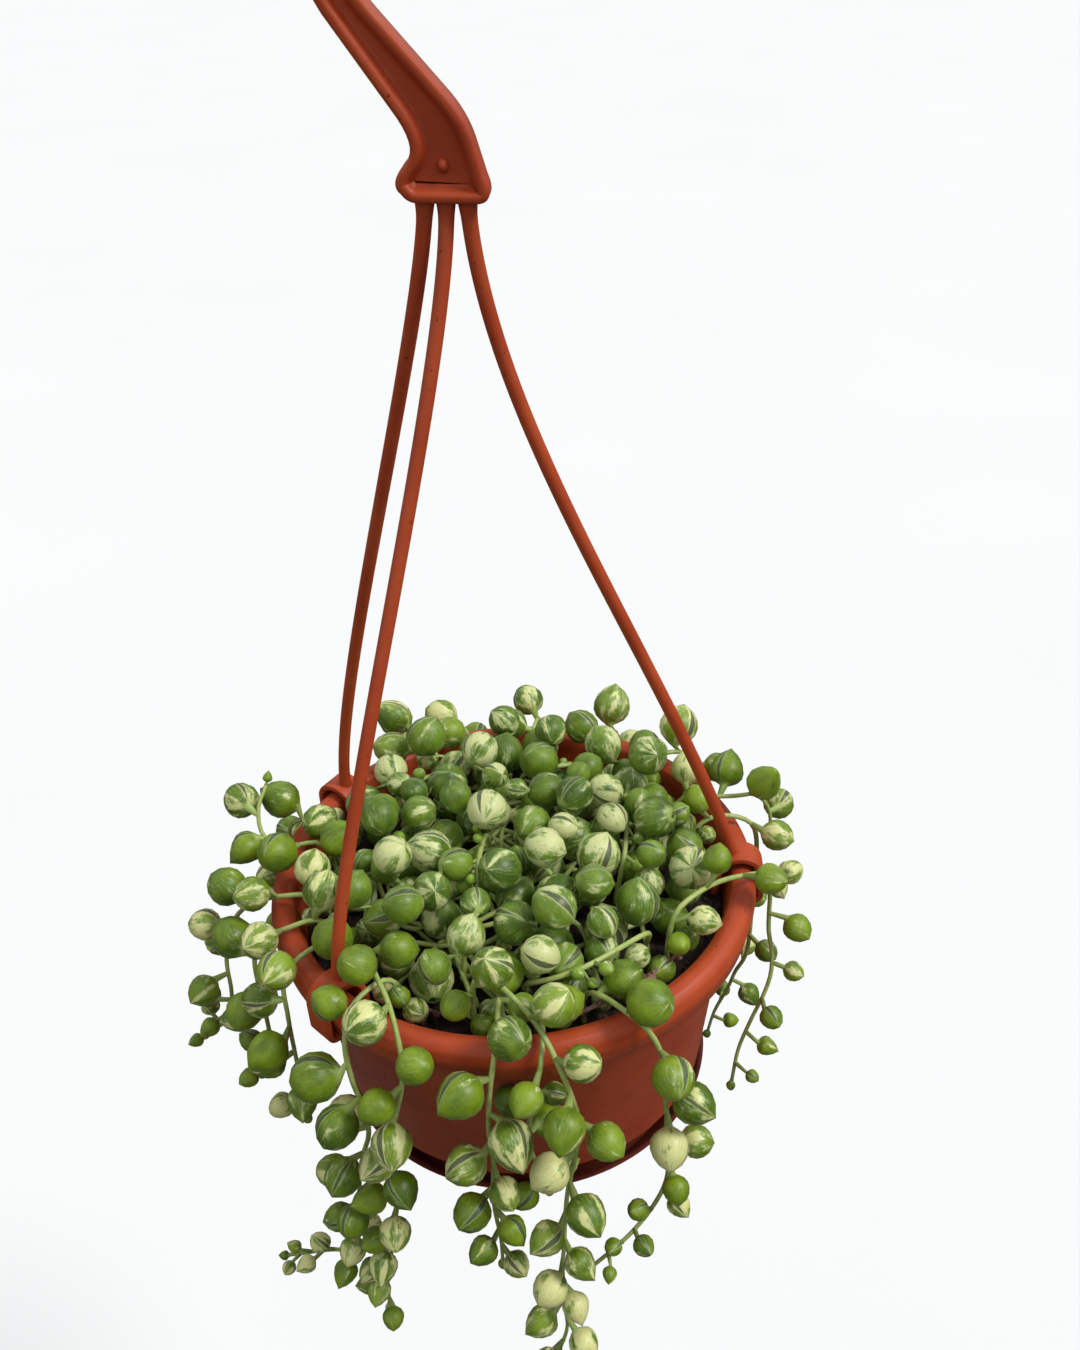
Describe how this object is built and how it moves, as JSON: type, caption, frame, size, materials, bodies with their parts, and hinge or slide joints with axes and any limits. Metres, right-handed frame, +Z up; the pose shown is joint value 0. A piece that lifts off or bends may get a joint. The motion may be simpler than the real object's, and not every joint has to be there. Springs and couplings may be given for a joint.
{
  "type": "potted variegated string of pearls",
  "caption": "Trailing succulent with round striped leaves, heaped over the soil of a small tapered hanging pot and hanging down over its rim, with a saucer and a clip-on hook hanger.",
  "frame": {"origin": "inner top of the hook's bend, where a rail or nail carries the pot", "axes": "+Z up along the pot's axis, +Y away from the side that the picture shows, +X to that side's right"},
  "size_m": [0.1606, 0.1483, 0.3367],
  "materials": {
    "clay_plastic": "terracotta-coloured moulded plastic, satin, with a fine grain",
    "maroon_plastic": "dark maroon moulded plastic, satin",
    "potting_soil": "moist dark peat with bark crumbs and a few white grains",
    "mat_leaves": "waxy green leaves with cream stripes, a little greyish",
    "strand_leaves": "waxy yellow-green leaves with cream stripes"
  },
  "bodies": {
    "root": {"pot": "clay_plastic", "saucer": "maroon_plastic", "soil": "potting_soil", "hanger": "clay_plastic", "pearl_mat": "mat_leaves", "strand_front_left_1": "strand_leaves", "strand_front_left_2": "strand_leaves", "strand_front_left_3": "strand_leaves", "strand_left_1": "strand_leaves", "strand_left_2": "strand_leaves", "strand_left_3": "strand_leaves", "strand_front_1": "strand_leaves", "strand_front_2": "strand_leaves", "strand_front_3": "strand_leaves", "strand_front_right_1": "strand_leaves", "strand_right_1": "strand_leaves", "strand_right_2": "strand_leaves", "strand_right_3": "strand_leaves", "strand_back_right_1": "strand_leaves", "strand_back_right_2": "strand_leaves", "strand_back_1": "strand_leaves", "strand_back_2": "strand_leaves", "strand_back_left_1": "strand_leaves", "strand_back_left_2": "strand_leaves"}
  },
  "joints": []
}
